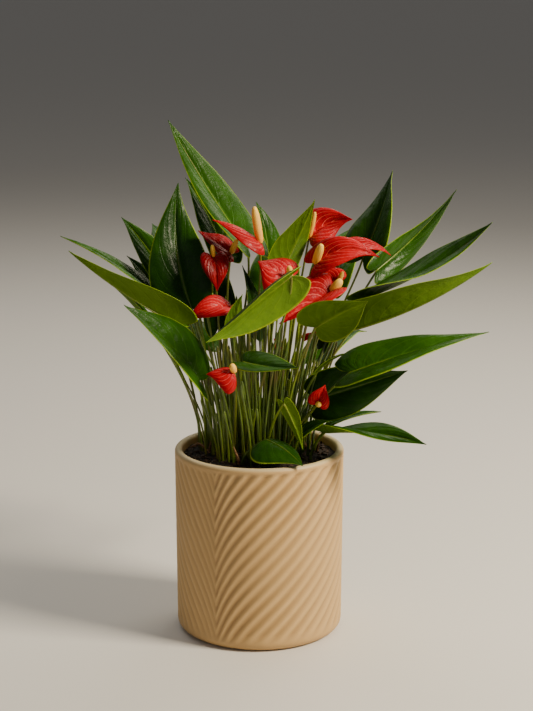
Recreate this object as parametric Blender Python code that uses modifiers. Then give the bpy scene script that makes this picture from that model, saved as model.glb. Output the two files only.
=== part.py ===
"""A potted anthurium: a turned ceramic pot, its potting mix, leaves on long petioles and red flowers.

Sizes are written in millimetres, and MM turns them into Blender's metres. The pot's axis is the Z axis and
its base rests on z = 0. +Y is the back.
Each leaf is one grown body, a petiole lofted into a heart-shaped blade. Each flower is a spathe (the red
blade) and a spike (the stalk that carries on into the spadix), with a small clearance between them.
"""

from collections import namedtuple
from math import cos, pi, radians, sin

import bmesh
import bpy
from mathutils import Vector

MM = 0.001

# Pot and potting mix
POT_HEIGHT = 155.0
POT_RIM_R = 70.0
POT_BASE_R = 69.0
POT_WALL = 6.5
POT_FLOOR = 8.0
FOOT_ROUND = 8.0
CORNER = 6.0
MIX_DROP = 6.0
CLEARANCE = 0.3
TURN_STEPS = 64
MIX_TOP = POT_HEIGHT - MIX_DROP
MIX_BASE_R = POT_BASE_R - POT_WALL - CLEARANCE
MIX_TOP_R = MIX_BASE_R + (POT_RIM_R - POT_BASE_R) * MIX_TOP / POT_HEIGHT

# Stems
PETIOLE_R = (1.2, 0.95)
STALK_R = (1.1, 0.9)
STEM_STEPS = 7
CROWN_R = 63.0

# Blades: full thickness along the midrib, at half width, and at the margin
LEAF_THICKNESS = (2.0, 1.3)
SPATHE_THICKNESS = (1.5, 1.0)

# Outlines from the sinus round a basal lobe to the tip. Each row is one rib: where the rib leaves the
# midrib, where it meets the margin along the midrib, and how far out, as shares of length and half width.
LEAF_OUTLINE = (
    (0.03, 0.00, 0.14),
    (0.05, -0.09, 0.34),
    (0.07, -0.11, 0.62),
    (0.11, -0.02, 0.88),
    (0.19, 0.13, 1.00),
    (0.33, 0.32, 0.97),
    (0.49, 0.51, 0.78),
    (0.65, 0.69, 0.50),
    (0.80, 0.84, 0.24),
    (0.92, 0.94, 0.08),
)
SPATHE_OUTLINE = (
    (0.04, 0.00, 0.20),
    (0.06, -0.13, 0.40),
    (0.09, -0.15, 0.68),
    (0.14, -0.04, 0.92),
    (0.24, 0.14, 1.00),
    (0.38, 0.36, 0.90),
    (0.54, 0.56, 0.66),
    (0.70, 0.74, 0.36),
    (0.85, 0.89, 0.13),
)

# A foot is where a stem leaves the mix, for a mix whose top is CROWN_R in radius. Collars, tips, bases and
# spadix ends are places measured from the centre of the rim's top, and width is a blade's full width, in mm.
# arch bows the midrib towards the upper face and sway bows it sideways, in mm. roll turns the blade about
# its midrib, twist adds more roll towards the tip, and fold lifts both halves, in degrees.
Leaf = namedtuple("Leaf", "name foot collar tip width roll arch sway twist fold", defaults=(0, 0, 0, 0, 15))
# A flower's base is where its stalk becomes the spadix, reach is how far from there its spathe starts, and
# thick is the spadix's radius.
FLOWER_FIELDS = "name foot base tip width spadix thick reach roll arch sway twist fold"
Flower = namedtuple("Flower", FLOWER_FIELDS, defaults=(0, 0, 0, 0, 12))

LEAVES = (
    # upper left
    Leaf("tall_left", (-26, 30), (-10, 45, 159), (-77, 85, 261), 47, 0, -6, 6, -25),
    Leaf("broad_left", (-36, 20), (-55, 5, 115), (-67, 45, 213), 54, -40, 0, -8, 50),
    Leaf("small_left", (-42, 28), (-76, 40, 131), (-117, 75, 180), 30, -20, 4),
    Leaf("outer_left", (-50, 20), (-87, 30, 121), (-164, 30, 171), 28, -5, 4),
    Leaf("tucked_left", (-44, 36), (-79, 42, 113), (-112, 62, 149), 22, -20, 3),
    Leaf("behind_left", (-32, 40), (-29, 80, 145), (-64, 110, 209), 38, -10, 4),
    # lower left
    Leaf("curved_left", (-44, 2), (-65, -35, 110), (-149, -44, 171), 42, 30, -3, 0, -20, 40),
    Leaf("narrow_left", (-48, 8), (-89, 0, 102), (-143, -20, 159), 36, -10, 4),
    Leaf("low_left", (-38, -6), (-49, -46, 67), (-104, -75, 134), 62, -37, 4, 0, 0, 20),
    # centre
    Leaf("upright_centre", (4, 22), (20, 15, 147), (45, 10, 204), 38, -40, 3, -4, 14),
    Leaf("back_centre", (0, 42), (7, 82, 140), (-3, 90, 191), 34, 0, 4),
    Leaf("front_centre", (-7, -18), (25, -75, 157), (-40, -106, 111), 56, 50, 2, 4, 0, -20),
    Leaf("low_centre", (-10, -14), (-12, -55, 84), (31, -95, 89), 30, 20, -2),
    Leaf("peek_left", (-20, -10), (-19, -36, 105), (-13, -42, 136), 20, 0, 2),
    Leaf("hanging", (6, -24), (20, -50, 49), (35, -50, 11), 15, -60, 2),
    Leaf("rim_front", (-14, -36), (6, -42, 17), (35, -66, 2), 46, 5, 3, 0, 0, -22),
    # upper right
    Leaf("upper_right", (38, 40), (87, 57, 147), (113, 88, 218), 47, 6, 4, 5, -40),
    Leaf("slim_right", (42, 28), (98, 34, 142), (163, 40, 208), 27, 100, -16, 10, 40),
    Leaf("long_right", (38, 10), (80, -5, 124), (188, 0, 187), 48, -20, -5, -14, 60),
    Leaf("lower_right", (36, 2), (75, -10, 100), (187, -15, 157), 56, -30, -8, 5, 16),
    Leaf("front_right", (20, -12), (45, -41, 109), (83, -90, 140), 42, -44, 2, 0, 0, 1),
    # lower right
    Leaf("bright_right", (30, -16), (73, -40, 72), (184, -30, 103), 50, 20, 8, 8, -15),
    Leaf("dark_right", (40, -6), (48, -10, 43), (120, -25, 70), 44, 75, 0, 0, 30),
    Leaf("peek_right", (27, -6), (47, -21, 68), (70, -31, 86), 11, 0, 2),
    Leaf("small_right", (46, 6), (60, 0, 18), (101, 5, 28), 20, 0, 2),
    Leaf("young_right", (28, -27), (33, -36, 18), (57, -46, 34), 18, 30, 2),
    Leaf("rim_right", (42, -16), (54, -20, 17), (133, -60, 18), 38, -25, 4, 0, 70),
    # behind
    Leaf("back_left", (-38, 46), (-70, 90, 115), (-96, 150, 163), 42, 0, 8),
    Leaf("back_middle", (6, 46), (12, 96, 107), (20, 155, 151), 46, 0, 8),
    Leaf("back_right", (34, 42), (60, 90, 115), (90, 145, 163), 42, 0, 8),
    Leaf("back_low_left", (-20, 52), (-50, 100, 60), (-88, 150, 77), 40, 0, 8),
    Leaf("back_low_right", (22, 52), (50, 95, 50), (96, 140, 67), 40, 0, 8),
)

FLOWERS = (
    Flower("top_left", (-8, 18), (1, 5, 169), (-38, 0, 189), 34, (-4, 5, 199), 3.4, 3.6, -6, 3, 0, 0, -19),
    Flower("dark_left", (-26, 12), (-23, 20, 158), (-50, 20, 177), 26, (-18, 14, 171), 2.4, 2.5, -30),
    Flower("hanging_left", (-30, 12), (-37, 5, 158), (-34, -5, 131), 24, (-38, 2, 168), 1.8, 3.2, 0, 2),
    Flower("low_left", (-28, -8), (-23, -11, 118), (-58, -21, 110), 31, (-14, -18, 125), 2.0, 2.4,
           -10, 8, -6, -45),
    Flower("centre", (12, 6), (25, -22, 145), (-1, -22, 159), 48, (24, -28, 156), 2.6, 2.3, -45, 0,
           0, 0, -15),
    Flower("upper_right", (20, 22), (41, 35, 168), (77, 35, 184), 40, (46, 29, 191), 2.2, 4.2, 38, 1, -6, 40),
    Flower("large_right", (26, 12), (45, -10, 155), (97, -10, 160), 28, (50, -19, 172), 3.4, 4.4,
           55, 10, -5, 13),
    Flower("behind_right", (30, 20), (68, 15, 163), (108, 15, 157), 30, (68, 12, 171), 2.0, 1.6, 10, 6),
    Flower("mid_right", (24, -2), (58, -20, 134), (16, -42, 112), 44, (66, -22, 144), 3.6, 1.8,
           -20, 0, 0, 0, 32),
    Flower("behind_mid", (30, 6), (64, 0, 137), (42, 8, 145), 26, (68, -2, 147), 2.0, 2.6, -40),
    Flower("small_left", (-20, -22), (-19, -75, 81), (-41, -75, 79), 34, (-21, -80, 88), 2.6, 2.0,
           -30, 2, 0, 0, -35),
    Flower("small_right", (22, -21), (47, -40, 46), (53, -40, 62), 18, (48, -50, 48), 2.2, 2.5, 80, 2),
)


# Principled materials: colour, roughness and metallic value
LOOKS = {
    "glazed_pot": ((0.62, 0.46, 0.30, 1.0), 0.55, 0.0),
    "potting_mix": ((0.035, 0.022, 0.014, 1.0), 0.95, 0.0),
    "leaf": ((0.035, 0.13, 0.02, 1.0), 0.30, 0.0),
    "spathe": ((0.65, 0.012, 0.016, 1.0), 0.28, 0.0),
    "spike": ((0.80, 0.42, 0.10, 1.0), 0.50, 0.0),
}


def clear_scene():
    for thing in list(bpy.data.objects):
        bpy.data.objects.remove(thing, do_unlink=True)


def make_materials():
    for name, (colour, roughness, metallic) in LOOKS.items():
        look = bpy.data.materials.new(name)
        look.use_nodes = True
        shader = look.node_tree.nodes["Principled BSDF"]
        shader.inputs["Base Color"].default_value = colour
        shader.inputs["Roughness"].default_value = roughness
        shader.inputs["Metallic"].default_value = metallic


def new_object(name, data, look):
    data.materials.append(bpy.data.materials[look])
    thing = bpy.data.objects.new(name, data)
    bpy.data.collections["potted_anthurium"].objects.link(thing)
    return thing


def above_rim(place):
    return Vector(place) + Vector((0, 0, POT_HEIGHT))


def foot_of(stem):
    """The centre of a stem's foot, a clearance above the mix, moved in or out with the mix's radius."""
    spread = MIX_TOP_R / CROWN_R
    return Vector((stem.foot[0] * spread, stem.foot[1] * spread, MIX_TOP + CLEARANCE))


def bowed(start, end, bow, t):
    """The point at t on a line from start to end, bowed by the vector bow at its middle."""
    return start.lerp(end, t) + bow * (4 * t * (1 - t))


def stem_curve(foot, top, arrive):
    """A stem's control points: up out of the mix, then round to arrive at top along a direction."""
    reach = (top - foot).length
    return foot, foot + Vector((0, 0, reach * 0.4)), top - arrive * (reach * 0.22), top


def cubic(points, t):
    a, b, c, d = points
    s = 1 - t
    return a * (s * s * s) + b * (3 * s * s * t) + c * (3 * s * t * t) + d * (t * t * t)


def cubic_tangent(points, t):
    a, b, c, d = points
    s = 1 - t
    return ((b - a) * (s * s) + (c - b) * (2 * s * t) + (d - c) * (t * t)).normalized()


def blade_axes(start, end, roll):
    """Along the midrib, out to the side, and out of the upper face."""
    along = (end - start).normalized()
    up = (Vector((0, 0, 1)) - along * along.z).normalized()
    side = along.cross(up)
    return along, side * cos(roll) - up * sin(roll), up * cos(roll) + side * sin(roll)


def midrib(blade, start, end, t):
    """The midrib point at t, with the side and face directions there."""
    _, side, face = blade_axes(start, end, radians(blade.roll))
    bow = face * blade.arch + side * blade.sway
    inner = max(t, 0.0)
    along = ((end - start) + bow * (4 - 8 * inner)).normalized()
    here = bowed(start, end, bow, inner) + along * ((end - start).length * min(t, 0.0))
    turn = radians(blade.twist) * inner
    side = (side - along * side.dot(along)).normalized()
    face = side.cross(along)
    return here, side * cos(turn) - face * sin(turn), face * cos(turn) + side * sin(turn)


def rib_ring(blade, start, end, rib, thickness):
    """Eight points round the blade at one rib: four down each side of the upper and lower faces."""
    leave, meet, out = rib
    spine, _, face = midrib(blade, start, end, leave)
    base, side, lift = midrib(blade, start, end, meet)
    fold = radians(blade.fold)
    half = blade.width / 2 * out
    edges = [base + (side * (s * cos(fold)) + lift * sin(fold)) * half for s in (-1, 1)]
    thin = 1 - 0.75 * leave
    middle = face * (thickness[0] / 2 * thin)
    quarter = face * (thickness[1] / 2 * thin)
    inner = [spine.lerp(edge, 0.5) + face * (half * 0.06) for edge in edges]
    return [
        edges[0],
        inner[0] + quarter,
        spine + middle,
        inner[1] + quarter,
        edges[1],
        inner[1] - quarter,
        spine - middle,
        inner[0] - quarter,
    ]


def round_ring(centre, side, face, radius):
    """Eight points round a stem, in the same order as a rib's."""
    turns = [pi - k * pi / 4 for k in range(8)]
    return [centre + (side * cos(a) + face * sin(a)) * radius for a in turns]


def stem_rings(points, side, radii, steps):
    """Round sections from foot to top, carried back from the top so that they don't twist."""
    rings = []
    for k in range(steps, -1, -1):
        t = k / steps
        along = cubic_tangent(points, t)
        side = (side - along * side.dot(along)).normalized()
        radius = radii[0] + (radii[1] - radii[0]) * t
        rings.append(round_ring(cubic(points, t), side, side.cross(along), radius))
    return rings[::-1]


def loft(name, rings, tip, look):
    """One closed body through rings of eight points, with a flat start and a pointed end."""
    mesh = bmesh.new()
    loops = [[mesh.verts.new(p * MM) for p in ring] for ring in rings]
    mesh.faces.new(loops[0])
    for low, high in zip(loops, loops[1:]):
        for k in range(8):
            mesh.faces.new((low[k], high[k], high[k - 7], low[k - 7]))
    point = mesh.verts.new(tip * MM)
    for k in range(8):
        mesh.faces.new((loops[-1][k], point, loops[-1][k - 7]))
    bmesh.ops.recalc_face_normals(mesh, faces=mesh.faces)
    bmesh.ops.triangulate(mesh, faces=mesh.faces)
    data = bpy.data.meshes.new(name)
    mesh.to_mesh(data)
    mesh.free()
    data.shade_smooth()
    new_object(name, data, look)


def make_leaf(leaf):
    foot, collar, tip = foot_of(leaf), above_rim(leaf.collar), above_rim(leaf.tip)
    _, side, _ = midrib(leaf, collar, tip, 0)
    rise, along = (collar - foot).normalized(), (tip - collar).normalized()
    arrive = (rise + along * (0.35 + 0.5 * max(rise.dot(along), 0))).normalized()
    rings = stem_rings(stem_curve(foot, collar, arrive), side, PETIOLE_R, STEM_STEPS)
    rings += [rib_ring(leaf, collar, tip, rib, LEAF_THICKNESS) for rib in LEAF_OUTLINE]
    loft("leaf_" + leaf.name, rings, tip, "leaf")


def make_spathe(flower):
    base, tip = above_rim(flower.base), above_rim(flower.tip)
    start = base + (tip - base).normalized() * flower.reach
    rings = [rib_ring(flower, start, tip, rib, SPATHE_THICKNESS) for rib in SPATHE_OUTLINE]
    loft("spathe_" + flower.name, rings, tip, "spathe")


def make_spike(flower):
    foot, base, top = foot_of(flower), above_rim(flower.base), above_rim(flower.spadix)
    along = (top - base).normalized()
    side = along.orthogonal().normalized()
    points = stem_curve(foot, base, ((base - foot).normalized() + along).normalized())
    rings = stem_rings(points, side, STALK_R, STEM_STEPS)
    side = (side - along * side.dot(along)).normalized()
    length, thick = (top - base).length, flower.thick
    for at, share in ((0.12, 0.75), (0.3, 1.0), (0.65, 0.97), (0.86, 0.8), (0.96, 0.45)):
        radius = max(thick * share, 0.4)
        rings.append(round_ring(base + along * (length * at), side, side.cross(along), radius))
    loft("spike_" + flower.name, rings, top, "spike")


def turned(name, profile, look):
    """A solid of revolution about Z, from (radius, height) points running down its outside from the top."""
    data = bpy.data.meshes.new(name)
    points = [(r * MM, 0.0, z * MM) for r, z in profile]
    data.from_pydata(points, [(k, k + 1) for k in range(len(points) - 1)], [])
    thing = new_object(name, data, look)
    screw = thing.modifiers.new("turn", "SCREW")
    screw.axis = "Z"
    screw.angle = 2 * pi
    screw.steps = TURN_STEPS
    screw.render_steps = TURN_STEPS
    screw.use_merge_vertices = True
    screw.merge_threshold = 1e-5
    screw.use_smooth_shade = True


def arc(radius, height, size, start, end, steps=4):
    """Points on a quarter round, as (radius, height), between two angles in degrees."""
    turns = [radians(start + (end - start) * k / steps) for k in range(steps + 1)]
    return [(radius + size * cos(a), height + size * sin(a)) for a in turns]


def make_pot():
    lip = POT_WALL / 2
    profile = [(0.0, POT_FLOOR)]
    profile += arc(POT_BASE_R - POT_WALL - CORNER, POT_FLOOR + CORNER, CORNER, -90, 0)
    profile += arc(POT_RIM_R - lip, POT_HEIGHT - lip, lip, 180, 0, 8)
    profile += arc(POT_BASE_R - FOOT_ROUND, FOOT_ROUND, FOOT_ROUND, 0, -90, 6)
    profile += [(0.0, 0.0)]
    turned("pot", profile, "glazed_pot")


def make_mix():
    bottom = POT_FLOOR + CLEARANCE
    profile = [(0.0, MIX_TOP), (MIX_TOP_R - 1.0, MIX_TOP), (MIX_TOP_R, MIX_TOP - 1.0)]
    profile += arc(MIX_BASE_R - CORNER, bottom + CORNER, CORNER, 0, -90)
    profile += [(0.0, bottom)]
    turned("potting_mix", profile, "potting_mix")


def main():
    clear_scene()
    make_materials()
    home = bpy.data.collections.new("potted_anthurium")
    bpy.context.scene.collection.children.link(home)
    make_pot()
    make_mix()
    for leaf in LEAVES:
        make_leaf(leaf)
    for flower in FLOWERS:
        make_spathe(flower)
        make_spike(flower)


main()
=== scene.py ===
"""Looks for the potted anthurium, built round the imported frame: thin veined blades, round stems, bumpy
spadices, a ribbed ceramic pot and crumbly potting mix, each in the place of its plain CAD solid.

Plant sizes are in millimetres, as in the part's own source, and MM turns them into Blender's metres.
"""

from collections import namedtuple
from math import cos, pi, radians, sin

import bpy
import numpy as np
from mathutils import Matrix, Vector
from mathutils.bvhtree import BVHTree


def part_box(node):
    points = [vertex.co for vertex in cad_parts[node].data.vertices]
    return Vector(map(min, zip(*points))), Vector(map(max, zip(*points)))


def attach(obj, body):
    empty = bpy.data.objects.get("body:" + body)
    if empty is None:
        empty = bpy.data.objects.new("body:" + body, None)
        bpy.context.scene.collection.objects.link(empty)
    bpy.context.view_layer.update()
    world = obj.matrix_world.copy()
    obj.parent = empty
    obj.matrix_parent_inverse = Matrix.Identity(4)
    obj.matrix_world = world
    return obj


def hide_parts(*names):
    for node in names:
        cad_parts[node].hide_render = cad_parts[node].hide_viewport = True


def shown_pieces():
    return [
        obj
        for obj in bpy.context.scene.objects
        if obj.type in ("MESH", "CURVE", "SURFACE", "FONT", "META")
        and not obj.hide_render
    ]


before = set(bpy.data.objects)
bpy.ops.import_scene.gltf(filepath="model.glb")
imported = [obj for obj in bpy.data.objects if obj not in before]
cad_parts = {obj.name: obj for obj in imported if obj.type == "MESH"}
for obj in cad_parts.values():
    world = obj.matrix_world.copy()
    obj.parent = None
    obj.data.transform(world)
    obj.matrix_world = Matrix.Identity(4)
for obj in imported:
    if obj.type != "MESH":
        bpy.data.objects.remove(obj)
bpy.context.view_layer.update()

MM = 0.001

# The golden ratio, as an angle for a sunflower spiral and as a step that spreads tones evenly
GOLDEN_TURN, GOLDEN_SHARE = pi * (3 - 5**0.5), 0.618

# A direction that no stem follows, so that it can set where a stem's sections start
OFF_AXIS = (0.31, 0.83, 0.46)

POT_HIGH = Vector(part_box("pot")[1]) / MM
MIX_LOW, MIX_HIGH = (Vector(corner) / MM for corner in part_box("potting_mix"))
POT_HEIGHT, POT_RIM_R = POT_HIGH.z, POT_HIGH.x
MIX_TOP, MIX_TOP_R = MIX_HIGH.z, MIX_HIGH.x

# Stems: radii at the foot and at the top, the radius of the mix that the feet are chosen for, how deep they
# stand in it, and how many sections a stem has
PETIOLE_R = (1.15, 0.85)
STALK_R = (1.05, 0.85)
CROWN_R = 63.0
STEM_SINK = 1.2
PETIOLE_ROWS, STALK_ROWS = 36, 40

# A leaf's petiole runs on under its blade as the midrib: how many sections that has, its radius at the tip,
# and how far it lies below the blade's middle surface
MIDRIB_ROWS, MIDRIB_END_R, MIDRIB_SINK = 24, 0.22, 0.35

# A spadix's florets: how many stand round it, how fast they follow each other along it, and how high they are
FLORET_TURNS, FLORET_PACE, FLORET_HEIGHT = 6, 3.6, 0.11

# Young stems, with leaves still rolled up, that fill the clump: how many places are tried; the radii at foot
# and top, and what the rolled leaf adds; how high the tips are over the rim; how near another piece they may
# come; and how far the clump reaches round a point a little behind the pot's axis. None stands where the mix
# is left open for watering.
YOUNG_TRIES = 260
YOUNG_R = (0.85, 0.6)
ROLL_R = 0.55
YOUNG_HEIGHTS = (35.0, 125.0)
YOUNG_CLEARANCE = 1.15
CLUMP_R, CLUMP_BACK = 46.0, 4.0
WATER_GAP, WATER_GAP_R = np.array((-43.0, -27.0, 0.0)), 10.0

# Blade outlines as in the part, with a sinus that closes on the collar: where a rib leaves the midrib, where
# it meets the margin, and how far out that is.
LEAF_OUTLINE = (
    (0.00, 0.000, 0.02),
    (0.02, -0.055, 0.17),
    (0.05, -0.095, 0.36),
    (0.07, -0.110, 0.62),
    (0.11, -0.020, 0.88),
    (0.19, 0.130, 1.00),
    (0.33, 0.320, 0.97),
    (0.49, 0.510, 0.78),
    (0.65, 0.690, 0.50),
    (0.80, 0.840, 0.24),
    (0.92, 0.940, 0.08),
    (1.00, 1.000, 0.006),
)
SPATHE_OUTLINE = (
    (0.00, 0.000, 0.05),
    (0.02, -0.080, 0.22),
    (0.05, -0.140, 0.42),
    (0.09, -0.150, 0.68),
    (0.14, -0.040, 0.92),
    (0.24, 0.140, 1.00),
    (0.38, 0.360, 0.90),
    (0.54, 0.560, 0.66),
    (0.70, 0.740, 0.36),
    (0.85, 0.890, 0.13),
    (1.00, 1.000, 0.008),
)
LEAF_VEINS, SPATHE_VEINS = 9, 7

# How each kind of blade is shaped: how many side veins it has and how far they lean towards the tip; half its
# thickness; how far each half crowns, and its margin curls and ripples, as shares of the half's width; how
# deep the midrib lies; and how far it puckers between the side veins. The two last and thick are in mm.
LEAF_STYLE = {
    "veins": LEAF_VEINS, "lean": 0.30, "thick": 0.26,
    "crown": 0.07, "curl": 0.05, "ripple": 0.05, "valley": 0.8, "pucker": 0.55,
}
SPATHE_STYLE = {
    "veins": SPATHE_VEINS, "lean": 0.60, "thick": 0.24,
    "crown": 0.08, "curl": 0.08, "ripple": 0.10, "valley": 0.6, "pucker": 1.0,
}

# 0 is a piece's darkest colour and 1 its lightest; the rest are spread between.
# Low values are painted shade, for leaves deep in the clump and for leaves and flowers shaded by others.
# Some middle values are set lower to offset the strong light that falls on those pieces.
TONES_AND_SHADE = {
    "tall_left": 0.6, "broad_left": 0.10, "low_left": 0.35, "outer_left": 0.5, "curved_left": 0.9,
    "upper_right": 0.5, "bright_right": 0.55, "dark_right": 0.15, "front_centre": 0.65, "rim_front": 0.1,
    "inner_left": 0.0, "inner_middle": 0.05, "inner_right": 0.0, "inner_low_left": 0.0,
    "inner_low_right": 0.0, "low_centre": 0.7, "hanging": 1.0,
    "front_right": 0.8, "lower_right": 0.7,
    "flower_dark_left": 0.15, "flower_hanging_left": 0.2, "flower_top_left": 0.55,
}

# Blades that close up along the midrib more than their solids do, or less, in degrees on each side.
CREASES = {"lower_right": 28, "mid_right": -3}

# A foot is where a stem leaves the mix, for a mix whose top is CROWN_R in radius. Collars, tips, bases and
# spadix ends are places measured from the centre of the rim's top, and width is a blade's full width, in mm.
# arch bows the midrib towards the upper face and sway bows it sideways, in mm. roll turns the blade about
# its midrib, twist adds more roll towards the tip, and fold lifts both halves, in degrees.
Leaf = namedtuple("Leaf", "name foot collar tip width roll arch sway twist fold", defaults=(0, 0, 0, 0, 15))
# A flower's base is where its stalk becomes the spadix, reach is how far from there its spathe starts, and
# thick is the spadix's radius.
FLOWER_FIELDS = "name foot base tip width spadix thick reach roll arch sway twist fold"
Flower = namedtuple("Flower", FLOWER_FIELDS, defaults=(0, 0, 0, 0, 12))

LEAVES = (
    # upper left
    Leaf("tall_left", (-26, 30), (-10, 45, 159), (-77, 85, 261), 47, 0, -6, 6, -25),
    Leaf("broad_left", (-36, 20), (-55, 5, 115), (-67, 45, 213), 54, -40, 0, -8, 50),
    Leaf("small_left", (-42, 28), (-76, 40, 131), (-117, 75, 180), 30, -20, 4),
    Leaf("outer_left", (-50, 20), (-87, 30, 121), (-164, 30, 171), 28, -5, 4),
    Leaf("tucked_left", (-44, 36), (-79, 42, 113), (-112, 62, 149), 22, -20, 3),
    Leaf("behind_left", (-32, 40), (-29, 80, 145), (-64, 110, 209), 38, -10, 4),
    # lower left
    Leaf("curved_left", (-44, 2), (-65, -35, 110), (-149, -44, 171), 42, 30, -3, 0, -20, 40),
    Leaf("narrow_left", (-48, 8), (-89, 0, 102), (-143, -20, 159), 36, -10, 4),
    Leaf("low_left", (-38, -6), (-49, -46, 67), (-104, -75, 134), 62, -37, 4, 0, 0, 20),
    # centre
    Leaf("upright_centre", (4, 22), (20, 15, 147), (45, 10, 204), 38, -40, 3, -4, 14),
    Leaf("back_centre", (0, 42), (7, 82, 140), (-3, 90, 191), 34, 0, 4),
    Leaf("front_centre", (-7, -18), (25, -75, 157), (-40, -106, 111), 56, 50, 2, 4, 0, -20),
    Leaf("low_centre", (-10, -14), (-12, -55, 84), (31, -95, 89), 30, 20, -2),
    Leaf("peek_left", (-20, -10), (-19, -36, 105), (-13, -42, 136), 20, 0, 2),
    Leaf("hanging", (6, -24), (20, -50, 49), (35, -50, 11), 15, -60, 2),
    Leaf("rim_front", (-14, -36), (6, -42, 17), (35, -66, 2), 46, 5, 3, 0, 0, -22),
    # upper right
    Leaf("upper_right", (38, 40), (87, 57, 147), (113, 88, 218), 47, 6, 4, 5, -40),
    Leaf("slim_right", (42, 28), (98, 34, 142), (163, 40, 208), 27, 100, -16, 10, 40),
    Leaf("long_right", (38, 10), (80, -5, 124), (188, 0, 187), 48, -20, -5, -14, 60),
    Leaf("lower_right", (36, 2), (75, -10, 100), (187, -15, 157), 56, -30, -8, 5, 16),
    Leaf("front_right", (20, -12), (45, -41, 109), (83, -90, 140), 42, -44, 2, 0, 0, 1),
    # lower right
    Leaf("bright_right", (30, -16), (73, -40, 72), (184, -30, 103), 50, 20, 8, 8, -15),
    Leaf("dark_right", (40, -6), (48, -10, 43), (120, -25, 70), 44, 75, 0, 0, 30),
    Leaf("peek_right", (27, -6), (47, -21, 68), (70, -31, 86), 11, 0, 2),
    Leaf("small_right", (46, 6), (60, 0, 18), (101, 5, 28), 20, 0, 2),
    Leaf("young_right", (28, -27), (33, -36, 18), (57, -46, 34), 18, 30, 2),
    Leaf("rim_right", (42, -16), (54, -20, 17), (133, -60, 18), 38, -25, 4, 0, 70),
    # behind
    Leaf("back_left", (-38, 46), (-70, 90, 115), (-96, 150, 163), 42, 0, 8),
    Leaf("back_middle", (6, 46), (12, 96, 107), (20, 155, 151), 46, 0, 8),
    Leaf("back_right", (34, 42), (60, 90, 115), (90, 145, 163), 42, 0, 8),
    Leaf("back_low_left", (-20, 52), (-50, 100, 60), (-88, 150, 77), 40, 0, 8),
    Leaf("back_low_right", (22, 52), (50, 95, 50), (96, 140, 67), 40, 0, 8),
)

FLOWERS = (
    Flower("top_left", (-8, 18), (1, 5, 169), (-38, 0, 189), 34, (-4, 5, 199), 3.4, 3.6, -6, 3, 0, 0, -19),
    Flower("dark_left", (-26, 12), (-23, 20, 158), (-50, 20, 177), 26, (-18, 14, 171), 2.4, 2.5, -30),
    Flower("hanging_left", (-30, 12), (-37, 5, 158), (-34, -5, 131), 24, (-38, 2, 168), 1.8, 3.2, 0, 2),
    Flower("low_left", (-28, -8), (-23, -11, 118), (-58, -21, 110), 31, (-14, -18, 125), 2.0, 2.4,
           -10, 8, -6, -45),
    Flower("centre", (12, 6), (25, -22, 145), (-1, -22, 159), 48, (24, -28, 156), 2.6, 2.3, -45, 0,
           0, 0, -15),
    Flower("upper_right", (20, 22), (41, 35, 168), (77, 35, 184), 40, (46, 29, 191), 2.2, 4.2, 38, 1, -6, 40),
    Flower("large_right", (26, 12), (45, -10, 155), (97, -10, 160), 28, (50, -19, 172), 3.4, 4.4,
           55, 10, -5, 13),
    Flower("behind_right", (30, 20), (68, 15, 163), (108, 15, 157), 30, (68, 12, 171), 2.0, 1.6, 10, 6),
    Flower("mid_right", (24, -2), (58, -20, 134), (16, -42, 112), 44, (66, -22, 144), 3.6, 1.8,
           -20, 0, 0, 0, 32),
    Flower("behind_mid", (30, 6), (64, 0, 137), (42, 8, 145), 26, (68, -2, 147), 2.0, 2.6, -40),
    Flower("small_left", (-20, -22), (-19, -75, 81), (-41, -75, 79), 34, (-21, -80, 88), 2.6, 2.0,
           -30, 2, 0, 0, -35),
    Flower("small_right", (22, -21), (47, -40, 46), (53, -40, 62), 18, (48, -50, 48), 2.2, 2.5, 80, 2),
)

# Leaves deep in the clump and flowers still in bud, which have no solids of their own.
INNER_LEAVES = (
    Leaf("inner_left", (-20, 34), (-34, 34, 93), (-40, 54, 160), 32, 10, 3),
    Leaf("inner_middle", (-2, 24), (-4, 26, 88), (-14, 32, 146), 26, 0, 3),
    Leaf("inner_right", (34, 20), (54, 22, 80), (82, 28, 122), 26, 10, 4),
    Leaf("inner_low_left", (-13, 42), (-14, 44, 8), (-15, 52, 82), 24, 0, 3),
    Leaf("inner_low_right", (16, 38), (17, 39, 8), (18, 47, 84), 30, 0, 3),
)
BUDS = (
    Flower("bud_centre", (12, -14), (15, -20, 86), (12, -22, 96), 9, (18, -22, 95), 1.1, 1.4, -60),
    Flower("bud_right", (24, 15), (36, 13, 88), (47, 12, 94), 6, (37, 12, 94), 0.9, 1.2, 60),
)


# ---------------------------------------------------------------- mesh helpers


def add_piece(name, points, faces, looks, face_look=None, maps=None, values=None):
    """A smooth mesh piece in metres from points in mm, with a UV map and per-point values if given."""
    data = bpy.data.meshes.new(name)
    data.from_pydata([tuple(p) for p in np.asarray(points) * MM], [], faces)
    for look in looks:
        data.materials.append(look)
    if face_look is not None:
        data.polygons.foreach_set("material_index", face_look)
    if maps is not None:
        layer = data.uv_layers.new(name="blade")
        corners = np.zeros(len(data.loops), dtype=np.int32)
        data.loops.foreach_get("vertex_index", corners)
        layer.data.foreach_set("uv", np.asarray(maps, dtype=np.float32)[corners].ravel())
    for key, numbers in (values or {}).items():
        layer = data.attributes.new(key, "FLOAT", "POINT")
        layer.data.foreach_set("value", np.asarray(numbers, dtype=np.float32))
    data.shade_smooth()
    data.validate()
    piece = bpy.data.objects.new(name, data)
    bpy.context.scene.collection.objects.link(piece)
    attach(piece, "root")
    return piece


def grid_faces(rows, columns, first=0, closed=False, flip=False):
    """Quads between rows of points; closed joins the last column to the first."""
    faces = []
    for r in range(rows - 1):
        for c in range(columns if closed else columns - 1):
            d = (c + 1) % columns
            quad = (r * columns + c, r * columns + d, (r + 1) * columns + d, (r + 1) * columns + c)
            faces.append(tuple(first + k for k in (quad[::-1] if flip else quad)))
    return faces


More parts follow.
